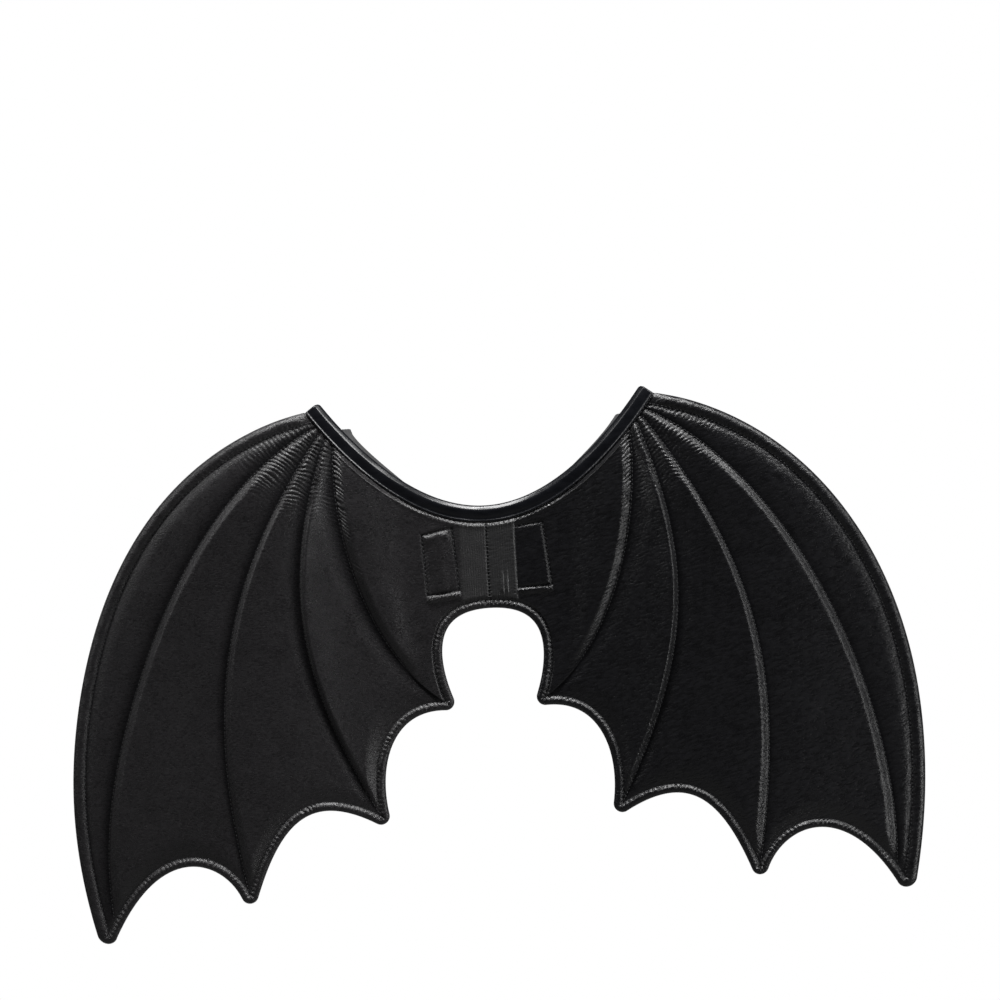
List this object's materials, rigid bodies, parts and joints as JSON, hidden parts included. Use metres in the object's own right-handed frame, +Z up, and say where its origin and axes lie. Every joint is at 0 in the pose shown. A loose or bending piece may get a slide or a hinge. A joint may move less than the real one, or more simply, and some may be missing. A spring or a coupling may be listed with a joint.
{
  "type": "padded bat wings",
  "caption": "Pair of padded, quilted fabric bat wings with stitched ribs, a scalloped lower edge, a bound neck edge and elastic shoulder loops.",
  "frame": {"origin": "on the wearer's side of the centre panel, at the spine seam, where the wings sit between the shoulder blades", "axes": "+X to the wearer's right, +Y from the wings to the wearer, +Z up"},
  "size_m": [0.6406, 0.1413, 0.393],
  "materials": {
    "quilted_cloth": "black woven cloth with a slight satin sheen, padded and stitched",
    "satin_tape": "smooth black satin tape",
    "elastic": "black ribbed elastic webbing"
  },
  "bodies": {
    "root": {"wing_left": "quilted_cloth", "wing_right": "quilted_cloth", "neck_binding": "satin_tape", "strap_left": "elastic", "strap_right": "elastic"}
  },
  "joints": []
}
